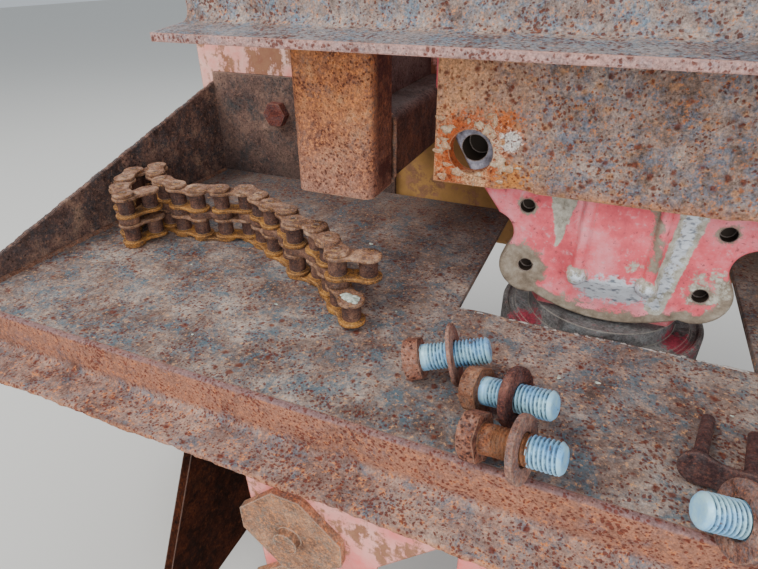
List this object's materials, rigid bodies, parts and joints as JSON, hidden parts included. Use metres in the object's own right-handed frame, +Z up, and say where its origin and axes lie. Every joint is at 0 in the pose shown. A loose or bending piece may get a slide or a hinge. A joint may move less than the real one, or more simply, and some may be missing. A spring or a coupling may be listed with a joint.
{
  "type": "manure spreader gearbox mounting frame",
  "caption": "Rusted front drive shelf of a manure spreader with beam, posts, plate and cast bevel gearbox; removed bolts and a duplex coupling chain lie on the shelf.",
  "frame": {"origin": "on the rear face of the cross member, on the centre line, level with the top of the shelf", "axes": "+X across the machine, +Y to the rear out of the rear face, +Z up"},
  "size_m": [1.106, 0.522, 0.6115],
  "materials": {
    "rusted_plate": "rusted, mottled brown and blue grey",
    "dark_rusted_plate": "dark scale and rust",
    "rusted_tube": "orange brown rust",
    "rusted_channel": "pale grey scale with dark pits",
    "flaking_plate": "flaking scale with cream and orange blotches",
    "faded_red_paint": "faded red paint over rust",
    "ochre_paint": "dull ochre paint",
    "red_casting": "faded red paint, worn to bare metal",
    "grimy_casting": "grime over red paint",
    "bare_steel": "turned steel, lightly stained",
    "bolt_steel": "bright thread, rusted head",
    "rusty_fastener": "rusted",
    "chain_steel": "rusted plates with yellow brown edges"
  },
  "bodies": {
    "frame": {"shelf_floor": "rusted_plate", "front_angle": "rusted_plate", "end_plate_left": "dark_rusted_plate", "end_plate_right": "dark_rusted_plate", "back_wall_left": "rusted_plate", "back_wall_right": "rusted_plate", "body_sill": "faded_red_paint", "cross_member": "ochre_paint", "post_left": "rusted_tube", "post_right": "rusted_tube", "rail_left": "rusted_tube", "rail_right": "rusted_tube", "rail_web_left": "rusted_tube", "rail_web_right": "rusted_tube", "beam": "rusted_channel", "mounting_plate": "flaking_plate", "side_plate_left": "dark_rusted_plate", "side_plate_right": "dark_rusted_plate", "gusset_left": "faded_red_paint", "gusset_right": "faded_red_paint", "keeper_left": "rusted_plate", "keeper_right": "rusted_plate", "centre_tab": "faded_red_paint", "wall_bolts": "rusty_fastener", "upper_bolts": "rusty_fastener", "gearbox_front_case": "red_casting", "gearbox_rear_case": "red_casting", "gearbox_base": "grimy_casting", "input_cap": "bare_steel", "case_bolts": "rusty_fastener", "bolt_1": "bolt_steel", "bolt_2": "bolt_steel", "bolt_3": "bolt_steel", "bolt_4": "bolt_steel", "washer_1": "rusty_fastener", "washer_2": "rusty_fastener", "washer_3": "rusty_fastener", "washer_4": "rusty_fastener", "chain_outer_links": "chain_steel", "chain_inner_links": "chain_steel", "connecting_link": "chain_steel"},
    "input": {"input_shaft": "bare_steel"},
    "output": {"output_sprocket": "bare_steel"}
  },
  "joints": [
    {"name": "output_spin", "type": "hinge", "parent": "frame", "child": "output", "pos_m": [0, -0.207, -0.083], "axis": [0, 0, 1], "continuous": true},
    {"name": "input_spin", "type": "hinge", "parent": "frame", "child": "input", "pos_m": [0, -0.3, 0.292], "axis": [0, 1, 0], "continuous": true}
  ],
  "couplings": [
    {"joint": "input_spin", "follows": "output_spin", "ratio": 1.5}
  ]
}
